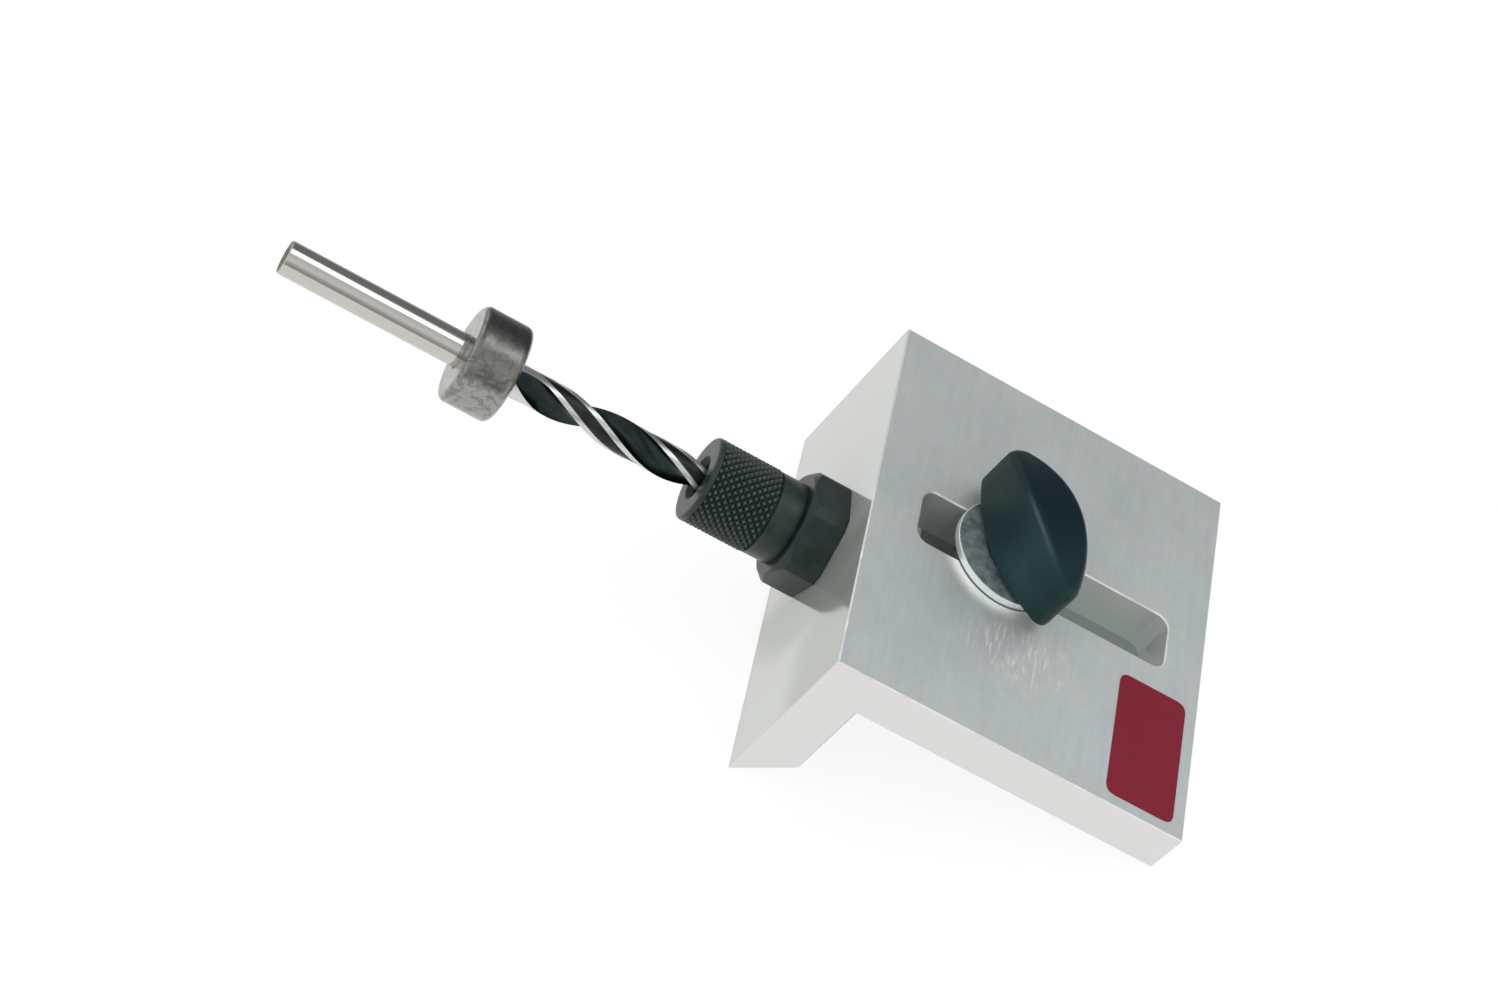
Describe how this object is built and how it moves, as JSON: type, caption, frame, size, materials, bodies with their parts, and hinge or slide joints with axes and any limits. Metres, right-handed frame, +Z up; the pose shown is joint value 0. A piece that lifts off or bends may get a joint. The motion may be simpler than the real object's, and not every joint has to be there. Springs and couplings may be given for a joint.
{
  "type": "drilling jig",
  "caption": "Aluminium angle drilling jig with knurled guide bush, depth-stopped twist drill, wing-knob clamp and sliding locating tongue.",
  "frame": {"origin": "middle of the footprint of the whole jig at ground level, as it rests on the free edges of both flanges", "axes": "+X from the drill's tail towards the free end of the long flange, +Y across the width away from the label side, +Z up; the long flange slopes 21.7 degrees down towards +X"},
  "size_m": [0.1636, 0.077, 0.0569],
  "materials": {
    "aluminium": "fine brushed, bare",
    "black_steel": "black oxide",
    "drill_steel": "ground bright, flutes dark",
    "collar_steel": "tumbled grey",
    "zinc_steel": "zinc plated",
    "knob_plastic": "fine matt",
    "plate_steel": "milled"
  },
  "bodies": {
    "jig": {"angle_body": "aluminium", "guide_bush": "black_steel", "lock_nut": "black_steel"},
    "locator": {"slide_plate": "plate_steel", "locating_tongue": "plate_steel", "tongue_screws": "black_steel", "clamp_washer": "zinc_steel"},
    "knob": {"clamp_knob": "knob_plastic", "clamp_bolt": "zinc_steel"},
    "depth_stop": {"stop_collar": "collar_steel", "collar_screw": "black_steel"},
    "drill": {"drill_bit": "drill_steel"}
  },
  "joints": [
    {"name": "locator_slide", "type": "slide", "parent": "jig", "child": "locator", "axis": [0.9289, 0, -0.3704], "range_m": [-0.0062, 0.0265]},
    {"name": "knob_turn", "type": "hinge", "parent": "locator", "child": "knob", "pos_m": [0.04453, 0, 0.02325], "axis": [0.3704, 0, 0.9289], "range_deg": [0, 180]},
    {"name": "drill_feed", "type": "slide", "parent": "jig", "child": "depth_stop", "axis": [0.9289, 0, -0.3704], "range_m": [-0.012, 0.0359]},
    {"name": "drill_spin", "type": "hinge", "parent": "depth_stop", "child": "drill", "pos_m": [-0.08074, 0, 0.05415], "axis": [0.9289, 0, -0.3704], "continuous": true}
  ]
}
